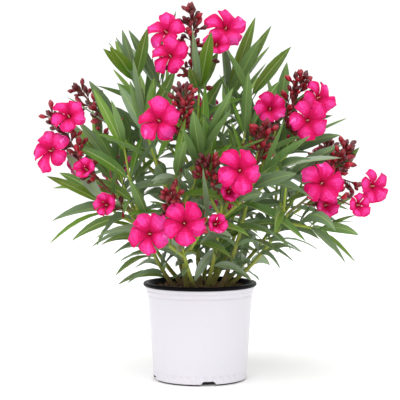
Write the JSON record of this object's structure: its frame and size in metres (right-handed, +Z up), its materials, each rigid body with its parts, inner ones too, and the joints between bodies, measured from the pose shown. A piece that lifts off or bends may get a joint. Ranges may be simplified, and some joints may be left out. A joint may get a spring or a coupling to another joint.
{
  "type": "potted oleander",
  "caption": "Flowering oleander shrub with narrow leaves and pink blooms in a white nursery pot with a black rim.",
  "frame": {"origin": "centre of the pot's flat underside", "axes": "+Z up, +X to the right, the front of the plant towards -Y"},
  "size_m": [0.6194, 0.5314, 0.6609],
  "materials": {
    "pot_white": "smooth white blow-moulded plastic with a soft gloss",
    "rim_black": "glossy black plastic",
    "potting_mix": "moist, crumbly bark and peat",
    "bark": "smooth green-brown young bark",
    "leaf": "leathery leaves with a satin sheen and pale midribs",
    "bloom": "soft matte petals, dark crimson buds on maroon stalks"
  },
  "bodies": {
    "root": {"pot": "pot_white", "pot_rim": "rim_black", "potting_mix": "potting_mix", "stem_centre": "bark", "stem_front_left": "bark", "stem_left": "bark", "stem_left_high": "bark", "stem_front_right": "bark", "stem_right_high": "bark", "stem_right_front": "bark", "stem_right": "bark", "stem_front_low": "bark", "stem_back_right": "bark", "stem_back": "bark", "stem_back_left": "bark", "stem_back_low": "bark", "stem_right_back": "bark", "leafy_centre": "leaf", "leafy_front_left": "leaf", "leafy_left": "leaf", "leafy_left_high": "leaf", "leafy_front_right": "leaf", "leafy_right_high": "leaf", "leafy_right_front": "leaf", "leafy_right": "leaf", "leafy_front_low": "leaf", "leafy_back_right": "leaf", "leafy_back": "leaf", "leafy_back_left": "leaf", "leafy_back_low": "leaf", "leafy_right_back": "leaf", "blossom_centre": "bloom", "blossom_front_left": "bloom", "blossom_left": "bloom", "blossom_left_high": "bloom", "blossom_front_right": "bloom", "blossom_right_high": "bloom", "blossom_right_front": "bloom", "blossom_right": "bloom", "blossom_front_low": "bloom", "blossom_back_right": "bloom", "blossom_back": "bloom", "blossom_back_left": "bloom", "blossom_back_low": "bloom", "blossom_right_back": "bloom"}
  },
  "joints": []
}
